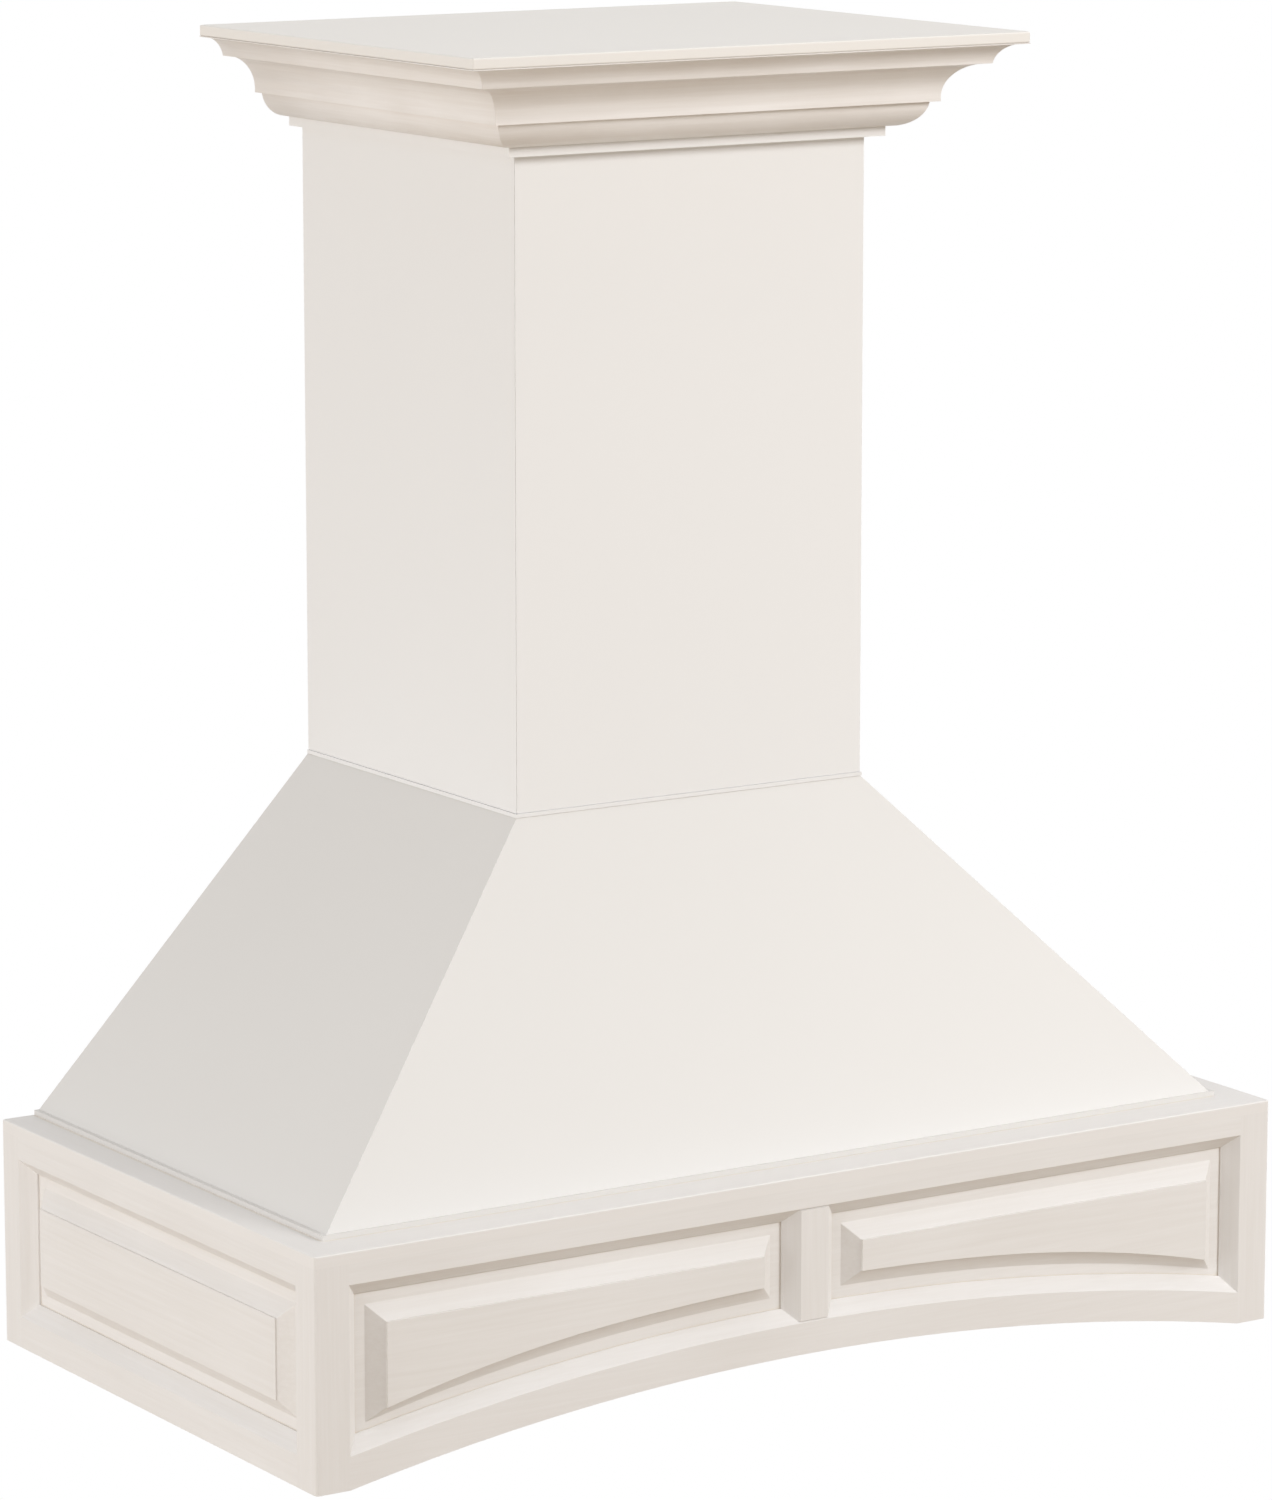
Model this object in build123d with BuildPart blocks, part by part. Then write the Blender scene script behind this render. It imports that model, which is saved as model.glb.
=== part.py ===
from build123d import *
import math
import os

# Wooden range hood cover: a panelled apron with an arched front, a sloping canopy,
# a straight chimney and a mitred crown, hung on a wall over a hob.
# Millimetres. +X is to the right, the front faces -Y, +Y is the wall, +Z is up.
# The origin is on the floor of the model, in the middle of its bounding box.

# ---------------------------------------------------------------- overall sizes
hood_width = 914.4            # across the apron, 36 in
hood_depth = 511.0            # apron face to wall
hood_height = 1074.0          # bottom of the apron to the top of the lid
apron_height = 187.5          # bottom of the apron to the top of the ledge
canopy_top_height = 463.5     # top edge of the sloping sheets
chimney_width = 331.5
chimney_depth = 331.5         # chimney face to wall

# ---------------------------------------------------------------- apron frames
frame_thickness = 25.4
corner_stile_width = 30.0     # seen width of the front frame's two outer stiles
side_corner_stile_width = 29.0
side_rear_stile_width = 26.0
centre_stile_width = 26.0
front_top_rail_width = 16.5
side_top_rail_width = 19.0
bottom_rail_width = 26.0
arch_rise = 42.0
sticking_width = 11.0         # bevel run along the inner edges of every frame
sticking_depth = 13.0
sticking_lip = 1.5            # square edge at the foot of that bevel
groove_depth = 9.5
corner_radius = 3.0           # eased upright corners of the apron
ledge_arris_radius = 1.2      # eased top arris of the ledge

# ---------------------------------------------------------------- raised panels
tongue_thickness = 6.1
panel_fit = 0.15              # play in front of and behind the tongue
panel_edge_gap = 1.5          # room for the panel to swell in its groove
panel_margin = 10.0           # flat border between frame and bevel
panel_bevel_width = 13.0
panel_foot_break = 175.0      # from the middle of the hood to where a panel's foot turns tighter
bevel_foot_drop = 4.4         # outer end of the bevel, below a line parallel to the arch
field_foot_drop = 8.1         # outer end of the field, below a line parallel to the arch
panel_shoulder = 1.5          # square step between bevel and field
field_setback = 1.0           # field behind the face of the frame

# ---------------------------------------------------------------- ledge and shoes
ledge_thickness = 9.5
front_ledge_reveal = 37.5     # face of the apron to the canopy shoe
side_ledge_reveal = 29.0
canopy_shoe_height = 4.0
canopy_shoe_width = 50.0
front_shoe_reveal = 2.0       # edge of the shoe to the foot of the canopy
side_shoe_reveal = 4.5
chimney_shoe_height = 3.0
chimney_shoe_projection = 1.0

# ---------------------------------------------------------------- canopy and chimney
canopy_sheet = 12.7
chimney_sheet = 12.7
foot_rail_height = 20.0
collar_height = 38.0          # rails that the chimney stands on
duct_opening_width = 236.0
duct_opening_front = 44.3     # chimney face to the front edge of the duct opening
hip_block_depth = 14.0
cleat_thickness = 19.0
cleat_width = 38.0

# ---------------------------------------------------------------- crown
lid_thickness = 9.0
crown_projection = 95.0       # chimney face to the edge of the lid
crown_lip = 0.8               # square top edge of the crown, flush with the lid
small_cove_width = 21.5
small_cove_height = 16.1
cove_fillet_width = 3.5
large_cove_width = 26.0
large_cove_height = 29.2
step_width = 6.3
step_height = 1.8
round_height = 20.3           # quarter round at the foot of the crown
crown_top_land = 27.0         # flat that meets the lid
crown_foot_land = 21.0        # flat that meets the backing board
backing_thickness = 12.2
backing_reveal = 8.3          # part of the backing board seen below the crown

# ---------------------------------------------------------------- deck and hanging rails
deck_thickness = 12.7
deck_level = 49.0             # underside of the deck, clear of the arch
cutout_width = 724.0
cutout_depth = 292.0
liner_hole_radius = 2.0
liner_hole_margin = 13.0      # edge of the cut-out to the holes round it
ledger_thickness = 19.0
ledger_height = 38.0
front_cleat_size = 19.0
hanging_rail_thickness = 19.0
hanging_rail_height = 89.0
wall_hole_radius = 3.25
stud_spacing = 406.4          # 16 in between wall studs
lower_hole_rows = 50.8
upper_hole_spacing = 203.2
corner_block_leg = 38.0

# ---------------------------------------------------------------- deck screws
screws_per_side = 3
screw_end_margin = 40.0
screw_shank_radius = 2.0
screw_head_radius = 4.0
screw_head_height = 2.2
screw_length = 32.0

# ---------------------------------------------------------------- levels and lines
half_width = hood_width / 2
front_y = -hood_depth / 2
wall_y = hood_depth / 2
frame_top = apron_height - ledge_thickness
frame_back_y = front_y + frame_thickness
inner_half_width = half_width - frame_thickness
groove_width = tongue_thickness + 2 * panel_fit
tongue_front = sticking_depth + panel_fit
overrun = 40.0                # how far cutting shapes run past the wood

arch_half_span = half_width - corner_stile_width
arch_radius = (arch_half_span**2 + arch_rise**2) / (2 * arch_rise)
arch_centre_z = arch_rise - arch_radius
arch_axis = Axis((0, 0, arch_centre_z), (0, 1, 0))

canopy_foot = apron_height + canopy_shoe_height
foot_half_width = half_width - side_ledge_reveal - side_shoe_reveal
foot_front_y = front_y + front_ledge_reveal + front_shoe_reveal
chimney_half_width = chimney_width / 2
chimney_front_y = wall_y - chimney_depth
chimney_foot = canopy_top_height + chimney_shoe_height
lid_underside = hood_height - lid_thickness
small_cove_top = lid_underside - crown_lip
small_cove_foot = small_cove_top - small_cove_height
large_cove_foot = small_cove_foot - large_cove_height
round_top = large_cove_foot - step_height
crown_foot = round_top - round_height
backing_foot = crown_foot - backing_reveal

throat_half_width = half_width - side_ledge_reveal - canopy_shoe_width
throat_front_y = front_y + front_ledge_reveal + canopy_shoe_width
deck_top = deck_level + deck_thickness

os.makedirs("parts", exist_ok=True)


# ================================================================ shared helpers
def finish(piece, label):
    """Name a finished piece and write it out."""
    piece.part.label = label
    export_step(piece.part, "parts/" + label + ".step")


def mirrored_twin(piece):
    """The same piece on the other side of the hood."""
    with BuildPart() as twin:
        mirror(piece.part, about=Plane.YZ)
    return twin


def mitre_plane(corner_half_width, corner_y):
    """Vertical 45 degree plane through the left front corner, facing the front piece."""
    return Plane(origin=(-corner_half_width, corner_y, 0), z_dir=(1, -1, 0))


def opposite(plane):
    """The same plane mirrored to the right-hand side."""
    origin = plane.origin
    normal = plane.z_dir
    return Plane(origin=(-origin.X, origin.Y, origin.Z), z_dir=(-normal.X, normal.Y, normal.Z))


def front_run(section, corner_half_width, corner_y, reach):
    """A length across the front with this section, mitred at both ends.

    The section is drawn with x outwards from the line through the corners and y up.
    """
    mitre = mitre_plane(corner_half_width, corner_y)
    with BuildPart() as run:
        with BuildSketch(Plane(origin=(0, corner_y, 0), x_dir=(0, -1, 0), z_dir=(-1, 0, 0))):
            add(section)
        extrude(amount=corner_half_width + reach, both=True)
        split(bisect_by=mitre, keep=Keep.TOP)
        split(bisect_by=opposite(mitre), keep=Keep.TOP)
    return run


def left_run(section, corner_half_width, corner_y, reach):
    """A length down the left side, mitred at the front and square at the wall."""
    mitre = mitre_plane(corner_half_width, corner_y)
    side = Plane(origin=(-corner_half_width, wall_y, 0), x_dir=(-1, 0, 0), z_dir=(0, 1, 0))
    with BuildPart() as run:
        with BuildSketch(side):
            add(section)
        extrude(amount=corner_y - wall_y - reach)
        split(bisect_by=mitre, keep=Keep.BOTTOM)
    return run


def box_section(inner, outer, low, high):
    """Plain rectangular section between two distances out and two levels."""
    with BuildSketch() as section:
        with Locations((inner, low)):
            Rectangle(outer - inner, high - low, align=(Align.MIN, Align.MIN))
    return section.sketch


def finish_three(section, corner_half_width, corner_y, reach, label):
    """Make, name and write the front, left and right lengths of a three-sided run."""
    finish(front_run(section, corner_half_width, corner_y, reach), label + "_front")
    left = left_run(section, corner_half_width, corner_y, reach)
    finish(left, label + "_left")
    finish(mirrored_twin(left), label + "_right")


# ================================================================ apron frames
def member_section(face_width, mitred=False):
    """Section of a frame member: x across it from its outer edge, y into the wood.

    The inner edge has the bevelled sticking, then the groove for the panel's tongue.
    """
    inner_edge = face_width + sticking_width
    back_outer = frame_thickness if mitred else 0
    with BuildSketch() as section:
        with BuildLine():
            Polyline(
                (0, 0),
                (face_width, 0),
                (inner_edge, sticking_depth - sticking_lip),
                (inner_edge, sticking_depth),
                (inner_edge - groove_depth, sticking_depth),
                (inner_edge - groove_depth, sticking_depth + groove_width),
                (inner_edge, sticking_depth + groove_width),
                (inner_edge, frame_thickness),
                (back_outer, frame_thickness),
                close=True,
            )
        make_face()
    return section.sketch


def frame_member(section, start, across, depth, length):
    """Run a member's section from start, at right angles to its across and depth axes."""
    direction = Vector(across).cross(Vector(depth))
    with BuildPart() as member:
        with BuildSketch(Plane(origin=start, x_dir=across, z_dir=direction)):
            add(section)
        extrude(amount=length)
    return member


# The block of the whole apron with its outer arrises eased, open towards the wall.
with BuildPart() as eased_apron:
    with BuildSketch(Plane.XY):
        with Locations((0, front_y)):
            Rectangle(hood_width, hood_depth + overrun, align=(Align.CENTER, Align.MIN))
    extrude(amount=apron_height)
    fillet(eased_apron.edges().filter_by(Axis.Z).group_by(Axis.Y)[0], radius=corner_radius)
    top_arrises = eased_apron.edges().group_by(Axis.Z)[-1].sort_by(Axis.Y)[:-1]
    fillet(top_arrises, radius=ledge_arris_radius)

# The space under the arch, as a long cylinder.
with BuildPart() as arch_space:
    with BuildSketch(Plane.XZ.offset(-front_y + overrun)):
        with Locations((0, arch_centre_z)):
            Circle(arch_radius)
    extrude(amount=-(frame_thickness + 2 * overrun))

# ---- front frame: the stiles run through, the rails are coped over them
with BuildPart() as apron_front_left_stile:
    add(
        frame_member(
            member_section(corner_stile_width, mitred=True),
            (-half_width, front_y, 0),
            (1, 0, 0),
            (0, 1, 0),
            frame_top,
        ).part
    )
    add(eased_apron.part, mode=Mode.INTERSECT)
    add(arch_space.part, mode=Mode.SUBTRACT)
finish(apron_front_left_stile, "apron_front_left_stile")

apron_front_right_stile = mirrored_twin(apron_front_left_stile)
finish(apron_front_right_stile, "apron_front_right_stile")

with BuildPart() as apron_front_top_rail:
    add(
        frame_member(
            member_section(front_top_rail_width),
            (-arch_half_span, front_y, frame_top),
            (0, 0, -1),
            (0, 1, 0),
            2 * arch_half_span,
        ).part
    )
    add(apron_front_left_stile.part, mode=Mode.SUBTRACT)
    add(apron_front_right_stile.part, mode=Mode.SUBTRACT)
finish(apron_front_top_rail, "apron_front_top_rail")

# The arched rail has the same section turned about the centre of the arch,
# then cut to length between the stiles.
with BuildPart() as apron_front_bottom_rail:
    with BuildSketch(
        Plane(
            origin=(0, front_y, arch_centre_z - arch_radius),
            x_dir=(0, 0, -1),
            z_dir=(1, 0, 0),
        )
    ):
        add(member_section(bottom_rail_width))
    revolve(axis=arch_axis)
    with Locations((0, front_y, 0)):
        Box(
            2 * arch_half_span,
            frame_thickness,
            frame_top,
            align=(Align.CENTER, Align.MIN, Align.MIN),
            mode=Mode.INTERSECT,
        )
    add(apron_front_left_stile.part, mode=Mode.SUBTRACT)
    add(apron_front_right_stile.part, mode=Mode.SUBTRACT)
finish(apron_front_bottom_rail, "apron_front_bottom_rail")

# The centre stile has sticking and groove on both edges and is coped over both rails.
centre_stile_foot = arch_rise + bottom_rail_width + sticking_width - groove_depth
centre_stile_head = frame_top - front_top_rail_width - sticking_width + groove_depth
with BuildPart() as apron_front_centre_stile:
    with BuildSketch(Plane(origin=(0, front_y, centre_stile_foot))):
        add(member_section(centre_stile_width / 2))
        mirror(about=Plane.YZ)
    extrude(amount=centre_stile_head - centre_stile_foot)
    add(apron_front_top_rail.part, mode=Mode.SUBTRACT)
    add(apron_front_bottom_rail.part, mode=Mode.SUBTRACT)
finish(apron_front_centre_stile, "apron_front_centre_stile")


# ---- raised panels
def height_on_arch(radius, x):
    """Level at this distance from the middle on a circle about the centre of the arch."""
    return arch_centre_z + math.sqrt(radius**2 - x**2)


def front_panel_outline(inset, foot_drop=0):
    """Front panel drawn in by this much from the inner edges of its frame.

    Its foot follows the arch from the centre stile to the break. From there a second
    arc runs on smoothly to the outer corner, which may lie lower than the first would.
    """
    left = -arch_half_span + sticking_width + inset
    right = -centre_stile_width / 2 - sticking_width - inset
    top = frame_top - front_top_rail_width - sticking_width - inset
    radius = arch_radius + bottom_rail_width + sticking_width + inset
    foot_left = (left, height_on_arch(radius, left) - foot_drop)
    foot_right = (right, height_on_arch(radius, right))
    foot_break = (-panel_foot_break, height_on_arch(radius, panel_foot_break))
    halfway = (right - panel_foot_break) / 2
    along_the_foot = (arch_centre_z - foot_break[1], -panel_foot_break)
    with BuildSketch() as outline:
        with BuildLine():
            Polyline(foot_left, (left, top), (right, top), foot_right)
            ThreePointArc(foot_right, (halfway, height_on_arch(radius, halfway)), foot_break)
            TangentArc(foot_break, foot_left, tangent=along_the_foot)
        make_face()
    return outline.sketch


def side_panel_outline(inset):
    """Side panel drawn in by this much from the inner edges of its frame."""
    left = -wall_y + side_rear_stile_width + sticking_width + inset
    right = -front_y - side_corner_stile_width - sticking_width - inset
    top = frame_top - side_top_rail_width - sticking_width - inset
    foot = bottom_rail_width + sticking_width + inset
    with BuildSketch() as outline:
        with Locations((left, foot)):
            Rectangle(right - left, top - foot, align=(Align.MIN, Align.MIN))
    return outline.sketch


def raised_panel(tongue_outline, bevel_outline, field_outline, face):
    """Panel with a tongue all round, a flat border, a bevel and a raised field."""
    shoulder_depth = field_setback + panel_shoulder
    with BuildPart() as panel:
        with BuildSketch(face.offset(-tongue_front)):
            add(bevel_outline)
        with BuildSketch(face.offset(-shoulder_depth)):
            add(field_outline)
        loft(ruled=True)
        with BuildSketch(face.offset(-tongue_front - tongue_thickness)):
            add(tongue_outline)
        extrude(amount=tongue_thickness)
        with BuildSketch(face.offset(-shoulder_depth)):
            add(field_outline)
        extrude(amount=panel_shoulder)
    return panel


front_face = Plane(origin=(0, front_y, 0), x_dir=(1, 0, 0), z_dir=(0, -1, 0))
left_face = Plane(origin=(-half_width, 0, 0), x_dir=(0, -1, 0), z_dir=(-1, 0, 0))

tongue_inset = panel_edge_gap - groove_depth
field_inset = panel_margin + panel_bevel_width
apron_front_left_panel = raised_panel(
    front_panel_outline(tongue_inset),
    front_panel_outline(panel_margin, bevel_foot_drop),
    front_panel_outline(field_inset, field_foot_drop),
    front_face,
)
finish(apron_front_left_panel, "apron_front_left_panel")
finish(mirrored_twin(apron_front_left_panel), "apron_front_right_panel")

# ---- side frames: mitred to the front frame at the corner
with BuildPart() as apron_left_front_stile:
    add(
        frame_member(
            member_section(side_corner_stile_width, mitred=True),
            (-half_width, front_y, frame_top),
            (0, 1, 0),
            (1, 0, 0),
            frame_top,
        ).part
    )
    add(eased_apron.part, mode=Mode.INTERSECT)

with BuildPart() as apron_left_rear_stile:
    add(
        frame_member(
            member_section(side_rear_stile_width),
            (-half_width, wall_y, 0),
            (0, -1, 0),
            (1, 0, 0),
            frame_top,
        ).part
    )

side_rail_length = hood_depth - side_corner_stile_width - side_rear_stile_width
side_rail_front = front_y + side_corner_stile_width
with BuildPart() as apron_left_top_rail:
    add(
        frame_member(
            member_section(side_top_rail_width),
            (-half_width, side_rail_front + side_rail_length, frame_top),
            (0, 0, -1),
            (1, 0, 0),
            side_rail_length,
        ).part
    )
    add(apron_left_front_stile.part, mode=Mode.SUBTRACT)
    add(apron_left_rear_stile.part, mode=Mode.SUBTRACT)

with BuildPart() as apron_left_bottom_rail:
    add(
        frame_member(
            member_section(bottom_rail_width),
            (-half_width, side_rail_front, 0),
            (0, 0, 1),
            (1, 0, 0),
            side_rail_length,
        ).part
    )
    add(apron_left_front_stile.part, mode=Mode.SUBTRACT)
    add(apron_left_rear_stile.part, mode=Mode.SUBTRACT)

apron_left_panel = raised_panel(
    side_panel_outline(tongue_inset),
    side_panel_outline(panel_margin),
    side_panel_outline(field_inset),
    left_face,
)

left_side_frame = {
    "front_stile": apron_left_front_stile,
    "rear_stile": apron_left_rear_stile,
    "top_rail": apron_left_top_rail,
    "bottom_rail": apron_left_bottom_rail,
    "panel": apron_left_panel,
}
for piece_name, piece in left_side_frame.items():
    finish(piece, "apron_left_" + piece_name)
    finish(mirrored_twin(piece), "apron_right_" + piece_name)

# ================================================================ ledge boards
# They cap the frames, mitred at the corners, with the outer arris eased.
front_ledge_width = front_ledge_reveal + canopy_shoe_width
side_ledge_width = side_ledge_reveal + canopy_shoe_width
ledge_level = (frame_top, apron_height)

with BuildPart() as ledge_front:
    add(front_run(box_section(-front_ledge_width, 0, *ledge_level), half_width, front_y, overrun).part)
    add(eased_apron.part, mode=Mode.INTERSECT)
finish(ledge_front, "ledge_front")

with BuildPart() as ledge_left:
    add(left_run(box_section(-side_ledge_width, 0, *ledge_level), half_width, front_y, overrun).part)
    add(eased_apron.part, mode=Mode.INTERSECT)
finish(ledge_left, "ledge_left")
finish(mirrored_twin(ledge_left), "ledge_right")

# ================================================================ canopy shoe
# A flat strip under the foot of the canopy; its edge shows as a thin line.
shoe_half_width = half_width - side_ledge_reveal
shoe_front_y = front_y + front_ledge_reveal
finish_three(
    box_section(-canopy_shoe_width, 0, apron_height, canopy_foot),
    shoe_half_width,
    shoe_front_y,
    overrun,
    "canopy_shoe",
)

# ================================================================ canopy
canopy_rise = canopy_top_height - canopy_foot
side_run_in = (foot_half_width - chimney_half_width) / canopy_rise
front_run_in = (chimney_front_y - foot_front_y) / canopy_rise
side_normal = Vector(-1, 0, side_run_in).normalized()
front_normal = Vector(0, -1, front_run_in).normalized()

left_slope = Plane(origin=(-foot_half_width, 0, canopy_foot), z_dir=side_normal)
right_slope = opposite(left_slope)
front_slope = Plane(origin=(0, foot_front_y, canopy_foot), z_dir=front_normal)


def inside_slopes(low, high, inset, rear_y):
    """The solid inside the sloping faces between two levels.

    Each sloping face is moved in by the inset, square to itself.
    """
    with BuildPart() as core:
        with Locations((0, rear_y, low)):
            Box(
                hood_width + 2 * overrun,
                hood_depth + overrun,
                high - low,
                align=(Align.CENTER, Align.MAX, Align.MIN),
            )
        for slope in (left_slope, right_slope, front_slope):
            split(bisect_by=slope.offset(-inset), keep=Keep.BOTTOM)
    return core.part


def upright_well(well_half_width, well_front_y, low, high):
    """A straight well, open at the wall, that is cut out of the rails round it."""
    with BuildPart() as well:
        with Locations((0, well_front_y, low - overrun)):
            Box(
                2 * well_half_width,
                wall_y + overrun - well_front_y,
                high - low + 2 * overrun,
                align=(Align.CENTER, Align.MIN, Align.MIN),
            )
    return well.part


# The three sheets meet at hip planes that halve the angle between them.
left_hip = Plane(
    origin=(-foot_half_width, foot_front_y, canopy_foot), z_dir=front_normal - side_normal
)
right_hip = opposite(left_hip)
sheet_foot = canopy_foot - overrun
sheet_head = canopy_top_height + overrun
with BuildPart() as canopy_shell:
    add(inside_slopes(canopy_foot, canopy_top_height, 0, wall_y))
    add(
        inside_slopes(sheet_foot, sheet_head, canopy_sheet, wall_y + overrun),
        mode=Mode.SUBTRACT,
    )

with BuildPart() as canopy_front:
    add(canopy_shell.part)
    split(bisect_by=left_hip, keep=Keep.TOP)
    split(bisect_by=right_hip, keep=Keep.TOP)
finish(canopy_front, "canopy_front")

with BuildPart() as canopy_left:
    add(canopy_shell.part)
    split(bisect_by=left_hip, keep=Keep.BOTTOM)
    split(bisect_by=Plane.YZ, keep=Keep.BOTTOM)
finish(canopy_left, "canopy_left")
finish(mirrored_twin(canopy_left), "canopy_right")


def rails_round_well(low, high, well_half_width, well_front_y, label):
    """Three rails behind the sheets, round a straight well.

    The front rail runs right across and the side rails butt against its back.
    """
    with BuildPart() as ring:
        add(inside_slopes(low, high, canopy_sheet, wall_y))
        add(upright_well(well_half_width, well_front_y, low, high), mode=Mode.SUBTRACT)
    joint = Plane.XZ.offset(-well_front_y)
    with BuildPart() as front_rail:
        add(ring.part)
        split(bisect_by=joint, keep=Keep.TOP)
    finish(front_rail, label + "_front")
    with BuildPart() as left_rail:
        add(ring.part)
        split(bisect_by=joint, keep=Keep.BOTTOM)
        split(bisect_by=Plane.YZ, keep=Keep.BOTTOM)
    finish(left_rail, label + "_left")
    finish(mirrored_twin(left_rail), label + "_right")


# Foot rails stand on the shoe behind the sheets.
foot_rail_top = canopy_foot + foot_rail_height
rails_round_well(
    canopy_foot, foot_rail_top, throat_half_width, throat_front_y, "canopy_foot_rail"
)

# Collar rails at the top carry the chimney and leave the opening for the duct.
collar_foot = canopy_top_height - collar_height
duct_front_y = chimney_front_y + duct_opening_front
duct_half_width = duct_opening_width / 2
rails_round_well(
    collar_foot, canopy_top_height, duct_half_width, duct_front_y, "collar_rail"
)

with BuildPart() as collar_rail_rear:
    with Locations((0, wall_y, collar_foot)):
        Box(
            duct_opening_width,
            hanging_rail_thickness,
            collar_height,
            align=(Align.CENTER, Align.MAX, Align.MIN),
        )
finish(collar_rail_rear, "collar_rail_rear")

# A long triangular block is glued behind each front hip, between foot rail and collar.
block_normal = (front_normal + side_normal).normalized()
inner_hip_point = Vector(
    -foot_half_width + canopy_sheet / abs(side_normal.X),
    foot_front_y + canopy_sheet / abs(front_normal.Y),
    canopy_foot,
)
block_plane = Plane(origin=inner_hip_point - block_normal * hip_block_depth, z_dir=block_normal)
with BuildPart() as left_hip_block:
    add(inside_slopes(foot_rail_top, collar_foot, canopy_sheet, wall_y))
    split(bisect_by=block_plane, keep=Keep.TOP)
with BuildPart() as canopy_hip_blocks:
    add(left_hip_block.part)
    add(mirrored_twin(left_hip_block).part)
finish(canopy_hip_blocks, "canopy_hip_blocks")

# Cleats up the wall edges of the side sheets take the screws into the wall.
with BuildPart() as canopy_rear_cleat_left:
    add(inside_slopes(foot_rail_top, collar_foot, canopy_sheet, wall_y))
    add(
        inside_slopes(sheet_foot, sheet_head, canopy_sheet + cleat_thickness, wall_y + overrun),
        mode=Mode.SUBTRACT,
    )
    split(bisect_by=Plane.XZ.offset(cleat_width - wall_y), keep=Keep.BOTTOM)
    split(bisect_by=Plane.YZ, keep=Keep.BOTTOM)
finish(canopy_rear_cleat_left, "canopy_rear_cleat_left")
finish(mirrored_twin(canopy_rear_cleat_left), "canopy_rear_cleat_right")

# ================================================================ chimney
chimney_shoe_width = chimney_shoe_projection + chimney_sheet + cleat_thickness
finish_three(
    box_section(-chimney_shoe_width, 0, canopy_top_height, chimney_foot),
    chimney_half_width + chimney_shoe_projection,
    chimney_front_y - chimney_shoe_projection,
    overrun,
    "chimney_shoe",
)

finish_three(
    box_section(-chimney_sheet, 0, chimney_foot, lid_underside),
    chimney_half_width,
    chimney_front_y,
    overrun,
    "chimney",
)

cleat_outer_x = chimney_half_width - chimney_sheet
cleat_length = lid_underside - chimney_foot
with BuildPart() as chimney_corner_cleats:
    for side, outer_edge in ((-1, Align.MIN), (1, Align.MAX)):
        with Locations((side * cleat_outer_x, chimney_front_y + chimney_sheet, chimney_foot)):
            Box(
                cleat_thickness,
                cleat_thickness,
                cleat_length,
                align=(outer_edge, Align.MIN, Align.MIN),
            )
finish(chimney_corner_cleats, "chimney_corner_cleats")

with BuildPart() as chimney_rear_cleat_left:
    with Locations((-cleat_outer_x, wall_y, chimney_foot)):
        Box(
            cleat_thickness,
            cleat_width,
            cleat_length,
            align=(Align.MIN, Align.MAX, Align.MIN),
        )
finish(chimney_rear_cleat_left, "chimney_rear_cleat_left")
finish(mirrored_twin(chimney_rear_cleat_left), "chimney_rear_cleat_right")

# ================================================================ crown
finish_three(
    box_section(0, backing_thickness, backing_foot, lid_underside),
    chimney_half_width,
    chimney_front_y,
    overrun,
    "crown_backing",
)

small_cove_inner = crown_projection - small_cove_width
large_cove_outer = small_cove_inner - cove_fillet_width
large_cove_inner = large_cove_outer - large_cove_width
round_outer = large_cove_inner - step_width


def quarter_turn(top, foot, hollow):
    """A quarter of a circle from a top point down to a foot point, hollow or round."""
    radius = math.dist(top, foot) / math.sqrt(2)
    return RadiusArc(top, foot, -radius if hollow else radius)


with BuildSketch() as crown_section:
    with BuildLine():
        quarter_turn(
            (crown_projection, small_cove_top), (small_cove_inner, small_cove_foot), hollow=True
        )
        Line((small_cove_inner, small_cove_foot), (large_cove_outer, small_cove_foot))
        quarter_turn(
            (large_cove_outer, small_cove_foot), (large_cove_inner, large_cove_foot), hollow=True
        )
        Polyline(
            (large_cove_inner, large_cove_foot),
            (large_cove_inner, round_top),
            (round_outer, round_top),
        )
        quarter_turn((round_outer, round_top), (backing_thickness, crown_foot), hollow=False)
        Polyline(
            (backing_thickness, crown_foot),
            (backing_thickness, crown_foot + crown_foot_land),
            (crown_projection - crown_top_land, lid_underside),
            (crown_projection, lid_underside),
            (crown_projection, small_cove_top),
        )
    make_face()
finish_three(
    crown_section.sketch, chimney_half_width, chimney_front_y, crown_projection + overrun, "crown"
)

with BuildPart() as top_board:
    with BuildSketch(Plane.XY.offset(lid_underside)):
        with Locations((0, wall_y)):
            Rectangle(
                chimney_width + 2 * crown_projection,
                chimney_depth + crown_projection,
                align=(Align.CENTER, Align.MAX),
            )
    extrude(amount=lid_thickness)
finish(top_board, "top_board")

# ================================================================ wall rails
with BuildPart() as upper_hanging_rail:
    with Locations((0, wall_y, lid_underside)):
        Box(
            2 * (cleat_outer_x - cleat_thickness),
            hanging_rail_thickness,
            hanging_rail_height,
            align=(Align.CENTER, Align.MAX, Align.MAX),
        )
    upper_face = Plane(
        origin=(0, wall_y - hanging_rail_thickness, lid_underside - hanging_rail_height / 2),
        x_dir=(1, 0, 0),
        z_dir=(0, -1, 0),
    )
    with Locations(upper_face):
        with GridLocations(upper_hole_spacing, 0, 2, 1):
            Hole(wall_hole_radius, depth=hanging_rail_thickness)
finish(upper_hanging_rail, "upper_hanging_rail")

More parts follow.
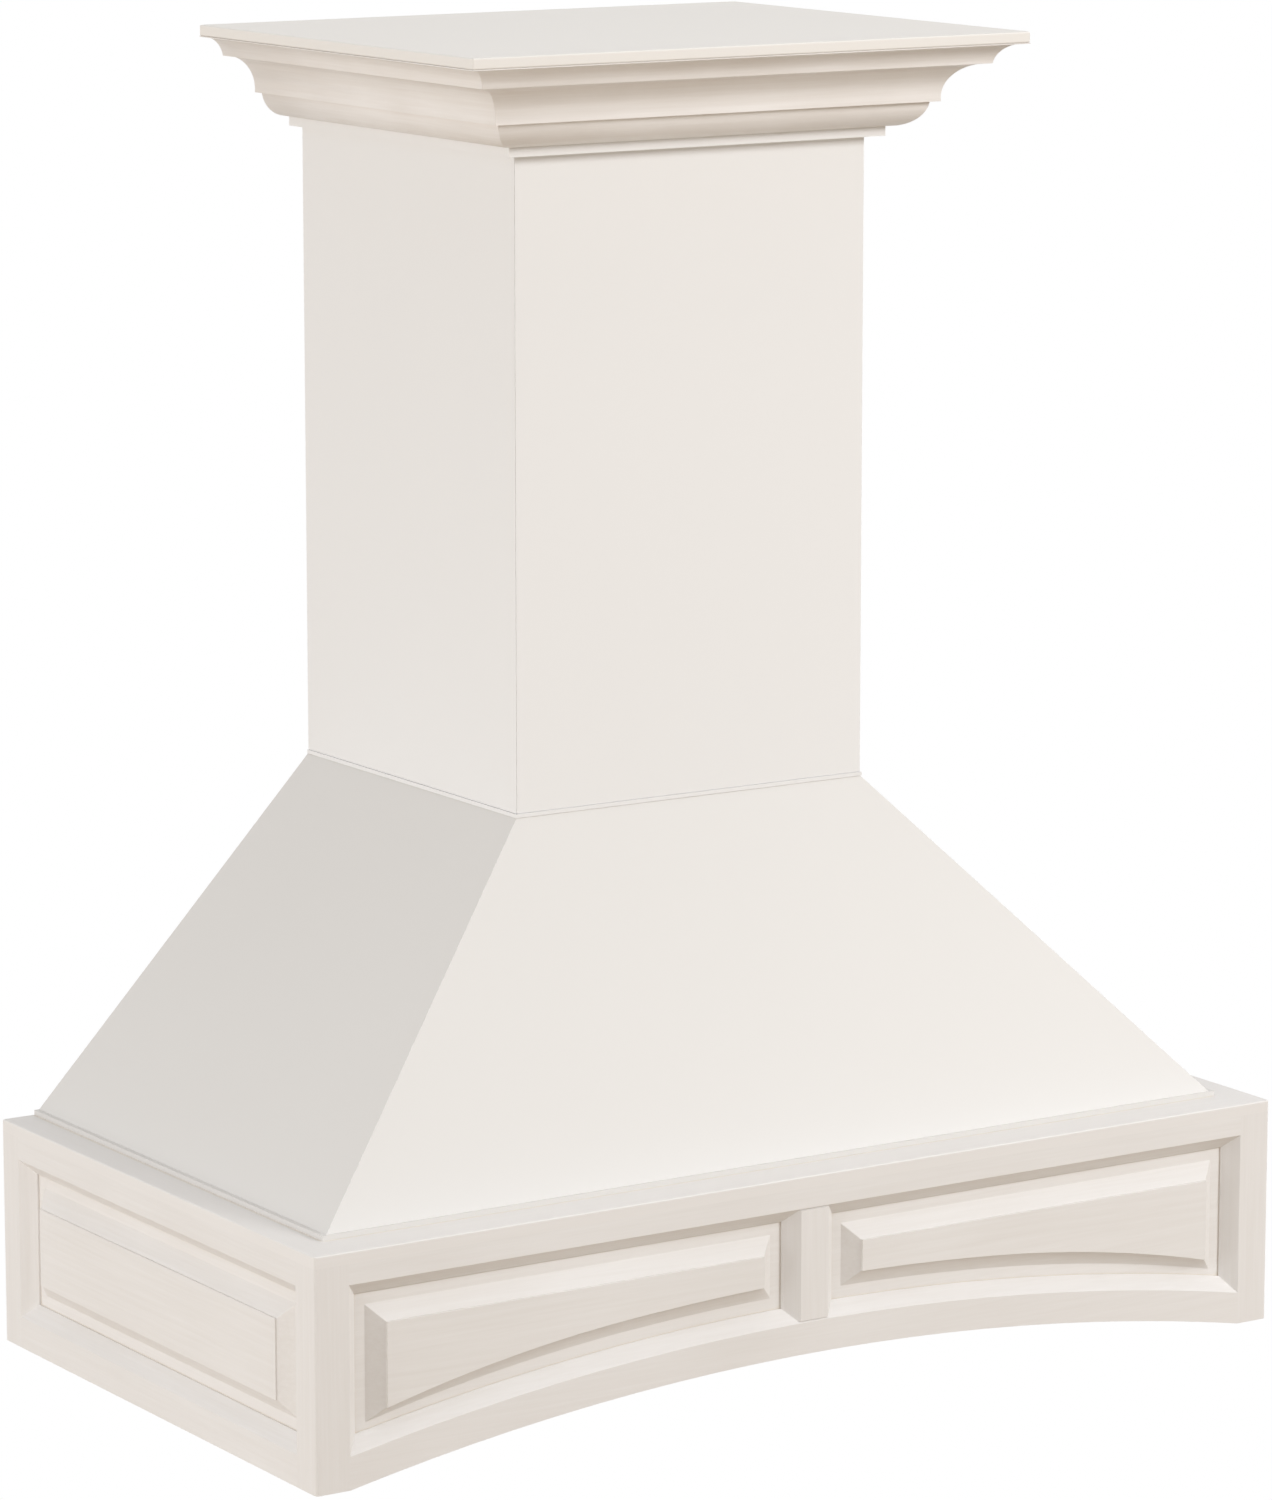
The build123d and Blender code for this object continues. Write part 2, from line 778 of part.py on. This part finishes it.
with BuildPart() as lower_hanging_rail:
    with Locations((0, wall_y, deck_top)):
        Box(
            2 * inner_half_width,
            hanging_rail_thickness,
            hanging_rail_height,
            align=(Align.CENTER, Align.MAX, Align.MIN),
        )
    lower_face = Plane(
        origin=(0, wall_y - hanging_rail_thickness, deck_top + hanging_rail_height / 2),
        x_dir=(1, 0, 0),
        z_dir=(0, -1, 0),
    )
    with Locations(lower_face):
        with GridLocations(stud_spacing, lower_hole_rows, 2, 2):
            Hole(wall_hole_radius, depth=hanging_rail_thickness)
finish(lower_hanging_rail, "lower_hanging_rail")

# ================================================================ insert deck
# Screws stand head up in a row over each ledger.
screw_x = inner_half_width - ledger_thickness / 2
screw_row_length = wall_y - frame_back_y - hanging_rail_thickness - 2 * screw_end_margin
screw_pitch = screw_row_length / (screws_per_side - 1)
screw_middle_y = (frame_back_y + wall_y - hanging_rail_thickness) / 2
with BuildPart() as one_screw:
    with BuildSketch(Plane.XZ):
        with BuildLine():
            Polyline(
                (0, 0),
                (screw_head_radius, 0),
                (screw_shank_radius, -screw_head_height),
                (screw_shank_radius, -screw_length),
                (0, -screw_length),
                close=True,
            )
        make_face()
    revolve(axis=Axis.Z)

with BuildPart() as deck_screws:
    with Locations((0, screw_middle_y, deck_top)):
        with GridLocations(2 * screw_x, screw_pitch, 2, screws_per_side):
            add(one_screw.part)
finish(deck_screws, "deck_screws")

deck_depth = wall_y - frame_back_y
deck_middle_y = (wall_y + frame_back_y) / 2
with BuildPart() as insert_deck:
    with BuildSketch(Plane.XY.offset(deck_level)):
        with Locations((0, deck_middle_y)):
            Rectangle(2 * inner_half_width, deck_depth)
            Rectangle(cutout_width, cutout_depth, mode=Mode.SUBTRACT)
            with GridLocations(
                cutout_width + 2 * liner_hole_margin, cutout_depth + 2 * liner_hole_margin, 2, 2
            ):
                Circle(liner_hole_radius, mode=Mode.SUBTRACT)
    extrude(amount=deck_thickness)
    add(deck_screws.part, mode=Mode.SUBTRACT)
finish(insert_deck, "insert_deck")

with BuildPart() as deck_ledger_left:
    with Locations((-inner_half_width, frame_back_y, deck_level)):
        Box(
            ledger_thickness,
            deck_depth,
            ledger_height,
            align=(Align.MIN, Align.MIN, Align.MAX),
        )
    add(deck_screws.part, mode=Mode.SUBTRACT)
finish(deck_ledger_left, "deck_ledger_left")
finish(mirrored_twin(deck_ledger_left), "deck_ledger_right")

# The corner blocks stand on the deck behind the mitred corners of the apron.
with BuildPart() as left_corner_block:
    with BuildSketch(Plane.XY.offset(deck_top)):
        with BuildLine():
            Polyline(
                (-inner_half_width, frame_back_y),
                (-inner_half_width + corner_block_leg, frame_back_y),
                (-inner_half_width, frame_back_y + corner_block_leg),
                close=True,
            )
        make_face()
    extrude(amount=frame_top - deck_top)
with BuildPart() as apron_corner_blocks:
    add(left_corner_block.part)
    add(mirrored_twin(left_corner_block).part)
finish(apron_corner_blocks, "apron_corner_blocks")

# A square cleat on the deck holds its front edge to the front frame.
with BuildPart() as deck_front_cleat:
    with Locations((0, frame_back_y, deck_top)):
        Box(
            2 * (inner_half_width - corner_block_leg),
            front_cleat_size,
            front_cleat_size,
            align=(Align.CENTER, Align.MIN, Align.MIN),
        )
finish(deck_front_cleat, "deck_front_cleat")
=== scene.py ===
import math

import bpy
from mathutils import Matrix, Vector

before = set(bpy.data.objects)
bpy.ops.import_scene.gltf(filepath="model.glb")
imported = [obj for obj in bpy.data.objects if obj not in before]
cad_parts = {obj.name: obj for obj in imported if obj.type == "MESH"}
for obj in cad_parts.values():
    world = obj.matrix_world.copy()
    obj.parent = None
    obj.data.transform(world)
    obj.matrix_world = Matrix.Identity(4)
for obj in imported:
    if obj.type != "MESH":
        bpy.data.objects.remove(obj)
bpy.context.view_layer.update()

# ------------------------------------------------------------------ apron frames
# The rails and stiles of the apron are solid maple, moulded along their inner edges,
# coped at the joints and glued. They are sanded, primed and sprayed in cream satin paint,
# which leaves the grain faintly in view along each member.
GRAIN_STRETCH = 30.0
# How far the painted shade in recesses reaches, in metres.
RECESS_SHADE_REACH = 0.006
WELD_REACH = 0.00001
ARRIS_STEPS = 2
ARRIS_ANGLE_DEG = 28.0
FRAME_GRAIN = 0.10
# Painted shade: the tint that darkens and warms the paint in recesses and corners.
FRAME_RECESS_SHADE = (0.87, 0.79, 0.66)


def node_setup(name):
    """A new material with an empty node tree and its output."""
    material = bpy.data.materials.new(name)
    material.use_nodes = True
    tree = material.node_tree
    tree.nodes.clear()
    return material, tree, tree.nodes.new("ShaderNodeOutputMaterial")


def along(axis):
    """Mapping scale that draws a pattern out along one axis of the object."""
    return [1.0 if letter == axis else GRAIN_STRETCH for letter in "XYZ"]


def satin_paint(
    name, light_tone, deep_tone, axis, grain_depth, recess_shade_tint, own_recesses=False, patchiness=0.40
):
    """Sprayed satin paint over wood whose grain runs along this axis.

    Painted shade darkens recesses through an ambient occlusion mask, and with own_recesses not at
    joints with other pieces.
    Patchiness is the share of broad patches against fine streaks.
    """
    material, tree, output = node_setup(name)
    shader = tree.nodes.new("ShaderNodeBsdfPrincipled")
    shader.inputs["Roughness"].default_value = 0.42
    shader.inputs["Specular IOR Level"].default_value = 0.3
    place = tree.nodes.new("ShaderNodeTexCoord")
    stretch = tree.nodes.new("ShaderNodeMapping")
    stretch.inputs["Scale"].default_value = along(axis)
    streaks = tree.nodes.new("ShaderNodeTexNoise")
    streaks.inputs["Scale"].default_value = 9.0
    streaks.inputs["Detail"].default_value = 6.0
    streaks.inputs["Roughness"].default_value = 0.62
    clouds = tree.nodes.new("ShaderNodeTexNoise")
    clouds.inputs["Scale"].default_value = 7.0
    clouds.inputs["Detail"].default_value = 2.0
    blend = tree.nodes.new("ShaderNodeMix")
    blend.data_type = "FLOAT"
    blend.inputs["Factor"].default_value = patchiness
    # Painted shade: an ambient occlusion mask multiplies the tint into the recesses.
    recess = tree.nodes.new("ShaderNodeAmbientOcclusion")
    recess.samples = 8
    recess.only_local = own_recesses
    recess.inputs["Distance"].default_value = RECESS_SHADE_REACH
    shade_amount = tree.nodes.new("ShaderNodeMapRange")
    shade_amount.inputs["From Min"].default_value = 0.30
    shade_amount.inputs["From Max"].default_value = 0.85
    shade_amount.inputs["To Min"].default_value = 1.0
    shade_amount.inputs["To Max"].default_value = 0.0
    painted_shade = tree.nodes.new("ShaderNodeMix")
    painted_shade.data_type = "RGBA"
    painted_shade.blend_type = "MULTIPLY"
    painted_shade.inputs["B"].default_value = (*recess_shade_tint, 1)
    tones = tree.nodes.new("ShaderNodeValToRGB")
    tones.color_ramp.elements[0].position = 0.32
    tones.color_ramp.elements[0].color = (*deep_tone, 1)
    tones.color_ramp.elements[1].position = 0.68
    tones.color_ramp.elements[1].color = (*light_tone, 1)
    bump = tree.nodes.new("ShaderNodeBump")
    bump.inputs["Strength"].default_value = grain_depth
    bump.inputs["Distance"].default_value = 0.0006
    link = tree.links.new
    link(place.outputs["Object"], stretch.inputs["Vector"])
    link(stretch.outputs["Vector"], streaks.inputs["Vector"])
    link(place.outputs["Object"], clouds.inputs["Vector"])
    link(streaks.outputs["Fac"], blend.inputs["A"])
    link(clouds.outputs["Fac"], blend.inputs["B"])
    link(blend.outputs["Result"], tones.inputs["Fac"])
    link(recess.outputs["AO"], shade_amount.inputs["Value"])
    link(shade_amount.outputs["Result"], painted_shade.inputs["Factor"])
    link(tones.outputs["Color"], painted_shade.inputs["A"])
    link(painted_shade.outputs["Result"], shader.inputs["Base Color"])
    link(streaks.outputs["Fac"], bump.inputs["Height"])
    link(bump.outputs["Normal"], shader.inputs["Normal"])
    link(shader.outputs["BSDF"], output.inputs["Surface"])
    return material


def dress(names, material, arris=0.0):
    """Give CAD pieces a material and, where arris is set, sanded edges of that width.

    The faces of a CAD piece come apart from each other, so a weld joins them first.
    """
    for name in names:
        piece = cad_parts[name]
        piece.data.materials.clear()
        piece.data.materials.append(material)
        if arris:
            seam = piece.modifiers.new("joined_faces", "WELD")
            seam.merge_threshold = WELD_REACH
            edge = piece.modifiers.new("sanded_arris", "BEVEL")
            edge.width = arris
            edge.segments = ARRIS_STEPS
            edge.limit_method = "ANGLE"
            edge.angle_limit = math.radians(ARRIS_ANGLE_DEG)
            edge.harden_normals = True


FRAME_LIGHT = (0.840, 0.822, 0.810)
FRAME_DEEP = (0.786, 0.760, 0.738)
frame_across = satin_paint(
    "frame_paint_across", FRAME_LIGHT, FRAME_DEEP, "X", FRAME_GRAIN, FRAME_RECESS_SHADE,
    own_recesses=True,
)
frame_back = satin_paint(
    "frame_paint_back", FRAME_LIGHT, FRAME_DEEP, "Y", FRAME_GRAIN, FRAME_RECESS_SHADE,
    own_recesses=True,
)
frame_up = satin_paint(
    "frame_paint_upright", FRAME_LIGHT, FRAME_DEEP, "Z", FRAME_GRAIN, FRAME_RECESS_SHADE,
    own_recesses=True,
)
dress(["apron_front_top_rail", "apron_front_bottom_rail"], frame_across)
dress(["apron_front_left_stile", "apron_front_centre_stile", "apron_front_right_stile"], frame_up)
for hand in ("left", "right"):
    dress([f"apron_{hand}_front_stile", f"apron_{hand}_rear_stile"], frame_up)
    dress([f"apron_{hand}_top_rail", f"apron_{hand}_bottom_rail"], frame_back)

# ------------------------------------------------------------------ raised panels
# Each panel is a glued-up maple board with its edges raised on a shaper. It floats in the
# grooves of its frame, so it has no fixings, and its grain runs along its length.
PANEL_LIGHT = (0.843, 0.823, 0.808)
PANEL_DEEP = (0.786, 0.758, 0.732)
PANEL_ARRIS = 0.0006
PANEL_GRAIN = 0.12
# The panels take the frames' painted shade in their recesses.
panel_across = satin_paint(
    "panel_paint_across", PANEL_LIGHT, PANEL_DEEP, "X", PANEL_GRAIN, FRAME_RECESS_SHADE
)
panel_back = satin_paint(
    "panel_paint_back", PANEL_LIGHT, PANEL_DEEP, "Y", PANEL_GRAIN, FRAME_RECESS_SHADE
)
dress(["apron_front_left_panel", "apron_front_right_panel"], panel_across, PANEL_ARRIS)
dress(["apron_left_panel", "apron_right_panel"], panel_back, PANEL_ARRIS)

# ------------------------------------------------------------------ ledge
# Three flat maple boards, mitred at the front corners, cap the apron and carry the canopy.
# Their outer arris is rounded over, and they are glued down on the apron frames.
LEDGE_LIGHT = (0.838, 0.816, 0.800)
LEDGE_DEEP = (0.818, 0.794, 0.774)
LEDGE_GRAIN = 0.08
# The ledge boards take the frames' painted shade in their recesses.
ledge_across = satin_paint(
    "ledge_paint_across", LEDGE_LIGHT, LEDGE_DEEP, "X", LEDGE_GRAIN, FRAME_RECESS_SHADE
)
ledge_back = satin_paint(
    "ledge_paint_back", LEDGE_LIGHT, LEDGE_DEEP, "Y", LEDGE_GRAIN, FRAME_RECESS_SHADE
)
dress(["ledge_front"], ledge_across)
dress(["ledge_left", "ledge_right"], ledge_back)

# ------------------------------------------------------------------ canopy and chimney
# Smooth fibreboard sheets, mitred at the hips and corners and glued to the cleats behind.
# The sheets are filled, sanded and sprayed, so they show no grain, only the spray's texture.
# A thin shoe strip lies under the foot of the canopy and another under the chimney.
SHEET_TONE = (0.868, 0.862, 0.857)
CHIMNEY_ARRIS = 0.0008


def sprayed_sheet(name, tone):
    """Even satin spray on fibreboard, with a fine orange peel."""
    material, tree, output = node_setup(name)
    shader = tree.nodes.new("ShaderNodeBsdfPrincipled")
    shader.inputs["Roughness"].default_value = 0.45
    shader.inputs["Specular IOR Level"].default_value = 0.3
    place = tree.nodes.new("ShaderNodeTexCoord")
    drift = tree.nodes.new("ShaderNodeTexNoise")
    drift.inputs["Scale"].default_value = 3.0
    drift.inputs["Detail"].default_value = 2.0
    tones = tree.nodes.new("ShaderNodeValToRGB")
    tones.color_ramp.elements[0].position = 0.3
    tones.color_ramp.elements[0].color = (*[channel * 0.992 for channel in tone], 1)
    tones.color_ramp.elements[1].position = 0.7
    tones.color_ramp.elements[1].color = (*tone, 1)
    peel = tree.nodes.new("ShaderNodeTexNoise")
    peel.inputs["Scale"].default_value = 700.0
    peel.inputs["Detail"].default_value = 1.0
    bump = tree.nodes.new("ShaderNodeBump")
    bump.inputs["Strength"].default_value = 0.02
    bump.inputs["Distance"].default_value = 0.0003
    link = tree.links.new
    link(place.outputs["Object"], drift.inputs["Vector"])
    link(drift.outputs["Fac"], tones.inputs["Fac"])
    link(tones.outputs["Color"], shader.inputs["Base Color"])
    link(place.outputs["Object"], peel.inputs["Vector"])
    link(peel.outputs["Fac"], bump.inputs["Height"])
    link(bump.outputs["Normal"], shader.inputs["Normal"])
    link(shader.outputs["BSDF"], output.inputs["Surface"])
    return material


# The canopy is sprayed in the chimney's paint. Its tone here is a darker copy, painted shade that
# holds back the extra light its sloping faces catch from above.
CANOPY_SHADED_TONE = (0.748, 0.730, 0.708)
chimney_paint = sprayed_sheet("chimney_paint", SHEET_TONE)
canopy_shaded_paint = sprayed_sheet("canopy_shaded_paint", CANOPY_SHADED_TONE)
dress(["canopy_front", "canopy_left", "canopy_right"], canopy_shaded_paint)
dress(["chimney_front", "chimney_left", "chimney_right"], chimney_paint, CHIMNEY_ARRIS)
for hand in ("front", "left", "right"):
    dress([f"canopy_shoe_{hand}"], canopy_shaded_paint)
    dress([f"chimney_shoe_{hand}"], chimney_paint)

# ------------------------------------------------------------------ crown and lid
# Three mitred lengths of milled maple crown, glued against a backing board round the
# chimney, with a flat lid glued on top whose edge is the fascia.
CROWN_LIGHT = (0.910, 0.888, 0.874)
CROWN_DEEP = (0.800, 0.758, 0.722)
# A weaker painted shade in the crown's recesses.
CROWN_RECESS_SHADE = (0.985, 0.965, 0.94)
CROWN_GRAIN = 0.12
CROWN_PATCHES = 0.60
LID_TONE = (0.860, 0.830, 0.792)
crown_across = satin_paint(
    "crown_paint_across", CROWN_LIGHT, CROWN_DEEP, "X", CROWN_GRAIN, CROWN_RECESS_SHADE,
    patchiness=CROWN_PATCHES,
)
crown_back = satin_paint(
    "crown_paint_back", CROWN_LIGHT, CROWN_DEEP, "Y", CROWN_GRAIN, CROWN_RECESS_SHADE,
    patchiness=CROWN_PATCHES,
)
lid_paint = sprayed_sheet("lid_paint", LID_TONE)
CROWN_ARRIS = 0.0004
LID_ARRIS = 0.0014
dress(["crown_front"], crown_across, CROWN_ARRIS)
dress(["crown_left", "crown_right"], crown_back, CROWN_ARRIS)
for hand in ("front", "left", "right"):
    dress([f"crown_backing_{hand}"], chimney_paint)
dress(["top_board"], lid_paint, LID_ARRIS)

# ------------------------------------------------------------------ rails, cleats and blocks
# Everything behind the painted faces is bare planed poplar, glued and nailed from inside.
# It is pale, with a straight greenish-brown grain along each stick.


def bare_wood(name, pale, dark, axis, ring_scale):
    """Planed bare wood with its grain along this axis."""
    material, tree, output = node_setup(name)
    shader = tree.nodes.new("ShaderNodeBsdfPrincipled")
    shader.inputs["Roughness"].default_value = 0.7
    shader.inputs["Specular IOR Level"].default_value = 0.2
    place = tree.nodes.new("ShaderNodeTexCoord")
    stretch = tree.nodes.new("ShaderNodeMapping")
    stretch.inputs["Scale"].default_value = along(axis)
    figure = tree.nodes.new("ShaderNodeTexNoise")
    figure.inputs["Scale"].default_value = ring_scale
    figure.inputs["Detail"].default_value = 7.0
    figure.inputs["Roughness"].default_value = 0.6
    figure.inputs["Distortion"].default_value = 0.4
    tones = tree.nodes.new("ShaderNodeValToRGB")
    tones.color_ramp.elements[0].position = 0.32
    tones.color_ramp.elements[0].color = (*dark, 1)
    tones.color_ramp.elements[1].position = 0.66
    tones.color_ramp.elements[1].color = (*pale, 1)
    bump = tree.nodes.new("ShaderNodeBump")
    bump.inputs["Strength"].default_value = 0.25
    bump.inputs["Distance"].default_value = 0.0006
    link = tree.links.new
    link(place.outputs["Object"], stretch.inputs["Vector"])
    link(stretch.outputs["Vector"], figure.inputs["Vector"])
    link(figure.outputs["Fac"], tones.inputs["Fac"])
    link(tones.outputs["Color"], shader.inputs["Base Color"])
    link(figure.outputs["Fac"], bump.inputs["Height"])
    link(bump.outputs["Normal"], shader.inputs["Normal"])
    link(shader.outputs["BSDF"], output.inputs["Surface"])
    return material


POPLAR_PALE = (0.640, 0.520, 0.335)
POPLAR_DARK = (0.450, 0.345, 0.200)
POPLAR_RINGS = 4.0
poplar_across = bare_wood("poplar_across", POPLAR_PALE, POPLAR_DARK, "X", POPLAR_RINGS)
poplar_deep = bare_wood("poplar_back", POPLAR_PALE, POPLAR_DARK, "Y", POPLAR_RINGS)
poplar_upright = bare_wood("poplar_upright", POPLAR_PALE, POPLAR_DARK, "Z", POPLAR_RINGS)
dress(
    [
        "canopy_foot_rail_front",
        "collar_rail_front",
        "collar_rail_rear",
        "upper_hanging_rail",
        "lower_hanging_rail",
        "deck_front_cleat",
    ],
    poplar_across,
)
dress(
    [
        "canopy_foot_rail_left",
        "canopy_foot_rail_right",
        "collar_rail_left",
        "collar_rail_right",
        "deck_ledger_left",
        "deck_ledger_right",
    ],
    poplar_deep,
)
dress(
    [
        "canopy_hip_blocks",
        "canopy_rear_cleat_left",
        "canopy_rear_cleat_right",
        "chimney_corner_cleats",
        "chimney_rear_cleat_left",
        "chimney_rear_cleat_right",
        "apron_corner_blocks",
    ],
    poplar_upright,
)

# ------------------------------------------------------------------ insert deck
# A sheet of sanded birch plywood with a cut-out for the hood insert. It is screwed down
# to the ledgers and its face grain runs across the hood.
BIRCH_PALE = (0.720, 0.560, 0.360)
BIRCH_DARK = (0.560, 0.405, 0.235)
BIRCH_RINGS = 2.5
birch_face = bare_wood("birch_ply", BIRCH_PALE, BIRCH_DARK, "X", BIRCH_RINGS)
dress(["insert_deck"], birch_face)

# ------------------------------------------------------------------ deck screws
# Zinc-plated countersunk wood screws, driven flush, three along each ledger. They hold the
# deck down and have a fine spangle in the plating.
zinc, zinc_tree, zinc_output = node_setup("zinc_plate")
zinc_shader = zinc_tree.nodes.new("ShaderNodeBsdfPrincipled")
zinc_shader.inputs["Metallic"].default_value = 1.0
zinc_place = zinc_tree.nodes.new("ShaderNodeTexCoord")
zinc_spangle = zinc_tree.nodes.new("ShaderNodeTexNoise")
zinc_spangle.inputs["Scale"].default_value = 400.0
zinc_tones = zinc_tree.nodes.new("ShaderNodeValToRGB")
zinc_tones.color_ramp.elements[0].color = (0.42, 0.42, 0.40, 1)
zinc_tones.color_ramp.elements[1].color = (0.66, 0.66, 0.64, 1)
zinc_rough = zinc_tree.nodes.new("ShaderNodeMapRange")
zinc_rough.inputs["To Min"].default_value = 0.28
zinc_rough.inputs["To Max"].default_value = 0.45
zinc_tree.links.new(zinc_place.outputs["Object"], zinc_spangle.inputs["Vector"])
zinc_tree.links.new(zinc_spangle.outputs["Fac"], zinc_tones.inputs["Fac"])
zinc_tree.links.new(zinc_spangle.outputs["Fac"], zinc_rough.inputs["Value"])
zinc_tree.links.new(zinc_tones.outputs["Color"], zinc_shader.inputs["Base Color"])
zinc_tree.links.new(zinc_rough.outputs["Result"], zinc_shader.inputs["Roughness"])
zinc_tree.links.new(zinc_shader.outputs["BSDF"], zinc_output.inputs["Surface"])
dress(["deck_screws"], zinc)

# ------------------------------------------------------------------ studio floor
# A white sweep lies a metre under the hood, which hangs as it would on its wall. Near the
# hood it is lit and takes the shadow, and further out it is plain white. The light that it
# throws back up on the hood is dimmer and warm, but gloss and glass show its white.
FLOOR_LEVEL = -1.0
FLOOR_RADIUS = 60.0
FLOOR_STEP_DEG = 10
SHADOW_REACH = 1.2
WHITE_REACH = 2.6


def rays_that_show_the_room(tree):
    """A value of 1 for rays from the camera and for gloss and glass, and 0 for other rays."""
    path = tree.nodes.new("ShaderNodeLightPath")
    gloss_or_glass = tree.nodes.new("ShaderNodeMath")
    gloss_or_glass.operation = "MAXIMUM"
    seen = tree.nodes.new("ShaderNodeMath")
    seen.operation = "MAXIMUM"
    tree.links.new(path.outputs["Is Glossy Ray"], gloss_or_glass.inputs[0])
    tree.links.new(path.outputs["Is Transmission Ray"], gloss_or_glass.inputs[1])
    tree.links.new(path.outputs["Is Camera Ray"], seen.inputs[0])
    tree.links.new(gloss_or_glass.outputs["Value"], seen.inputs[1])
    return seen.outputs["Value"]


floor_mesh = bpy.data.meshes.new("floor")
ring = [
    (
        FLOOR_RADIUS * math.cos(math.radians(step)),
        FLOOR_RADIUS * math.sin(math.radians(step)),
        FLOOR_LEVEL,
    )
    for step in range(0, 360, FLOOR_STEP_DEG)
]
floor_mesh.from_pydata(ring, [], [list(range(len(ring)))])
floor = bpy.data.objects.new("floor", floor_mesh)
bpy.context.scene.collection.objects.link(floor)
floor_finish, floor_tree, floor_output = node_setup("floor_white")
floor_lit = floor_tree.nodes.new("ShaderNodeBsdfDiffuse")
floor_lit.inputs["Color"].default_value = (0.80, 0.80, 0.80, 1)
floor_bounce = floor_tree.nodes.new("ShaderNodeBsdfDiffuse")
floor_bounce.inputs["Color"].default_value = (0.45, 0.36, 0.26, 1)
floor_glow = floor_tree.nodes.new("ShaderNodeEmission")
floor_glow.inputs["Strength"].default_value = 0.25
floor_seen = floor_tree.nodes.new("ShaderNodeAddShader")
floor_plain = floor_tree.nodes.new("ShaderNodeEmission")
floor_place = floor_tree.nodes.new("ShaderNodeTexCoord")
floor_reach = floor_tree.nodes.new("ShaderNodeVectorMath")
floor_reach.operation = "LENGTH"
floor_fade = floor_tree.nodes.new("ShaderNodeMapRange")
floor_fade.interpolation_type = "SMOOTHSTEP"
floor_fade.inputs["From Min"].default_value = SHADOW_REACH
floor_fade.inputs["From Max"].default_value = WHITE_REACH
floor_far = floor_tree.nodes.new("ShaderNodeMixShader")
floor_view = floor_tree.nodes.new("ShaderNodeMixShader")
link = floor_tree.links.new
link(floor_lit.outputs["BSDF"], floor_seen.inputs[0])
link(floor_glow.outputs["Emission"], floor_seen.inputs[1])
link(floor_place.outputs["Object"], floor_reach.inputs[0])
link(floor_reach.outputs["Value"], floor_fade.inputs["Value"])
link(floor_fade.outputs["Result"], floor_far.inputs["Fac"])
link(floor_seen.outputs["Shader"], floor_far.inputs[1])
link(floor_plain.outputs["Emission"], floor_far.inputs[2])
link(rays_that_show_the_room(floor_tree), floor_view.inputs["Fac"])
link(floor_bounce.outputs["BSDF"], floor_view.inputs[1])
link(floor_far.outputs["Shader"], floor_view.inputs[2])
link(floor_view.outputs["Shader"], floor_output.inputs["Surface"])
floor_mesh.materials.append(floor_finish)

# ------------------------------------------------------------------ studio light
# A soft key from the upper right front, a low fill from the left, a smaller one from the
# left front and one overhead, in a pale room that the camera, gloss and glass see as white.
AMBIENT_LEVEL = 0.53
world = bpy.data.worlds.new("studio")
bpy.context.scene.world = world
world.use_nodes = True
world_tree = world.node_tree
world_tree.nodes.clear()
room_light = world_tree.nodes.new("ShaderNodeBackground")
room_light.inputs["Color"].default_value = (1.0, 0.985, 0.965, 1)
room_light.inputs["Strength"].default_value = AMBIENT_LEVEL
room_white = world_tree.nodes.new("ShaderNodeBackground")
room_white.inputs["Color"].default_value = (1, 1, 1, 1)
room_white.inputs["Strength"].default_value = 1.0
room_view = world_tree.nodes.new("ShaderNodeMixShader")
room_output = world_tree.nodes.new("ShaderNodeOutputWorld")
world_tree.links.new(rays_that_show_the_room(world_tree), room_view.inputs["Fac"])
world_tree.links.new(room_light.outputs["Background"], room_view.inputs[1])
world_tree.links.new(room_white.outputs["Background"], room_view.inputs[2])
world_tree.links.new(room_view.outputs["Shader"], room_output.inputs["Surface"])

AIM = Vector((0.0, 0.0, 0.5))


def softbox(name, place, size, power):
    """A square area light at this place that faces the middle of the hood."""
    lamp = bpy.data.lights.new(name, "AREA")
    lamp.shape = "SQUARE"
    lamp.size = size
    lamp.energy = power
    stand = bpy.data.objects.new(name, lamp)
    stand.location = place
    stand.rotation_euler = (AIM - Vector(place)).to_track_quat("-Z", "Y").to_euler()
    bpy.context.scene.collection.objects.link(stand)


softbox("key", (3.3, -4.3, 2.9), 1.8, 184.0)
softbox("left_fill", (-5.0, 0.2, 0.35), 3.0, 92.0)
softbox("left_front_fill", (-4.4, -2.9, 1.55), 2.4, 36.0)
softbox("overhead", (0.0, -0.5, 5.0), 3.0, 20.0)

# ------------------------------------------------------------------ camera
# A long lens to the front left, a little above the top of the hood, level from side to side.
LENS_MM = 150.36
CAMERA_PLACE = (-2.7265, -4.2227, 1.4347)
CAMERA_TILT_DEG = 79.35
CAMERA_TURN_DEG = -32.81
view = bpy.data.cameras.new("camera")
view.lens = LENS_MM
view.sensor_width = 36.0
view.clip_end = 200.0
camera = bpy.data.objects.new("camera", view)
camera.location = CAMERA_PLACE
camera.rotation_euler = (math.radians(CAMERA_TILT_DEG), 0, math.radians(CAMERA_TURN_DEG))
bpy.context.scene.collection.objects.link(camera)
bpy.context.scene.camera = camera
bpy.context.scene.view_settings.view_transform = "Standard"
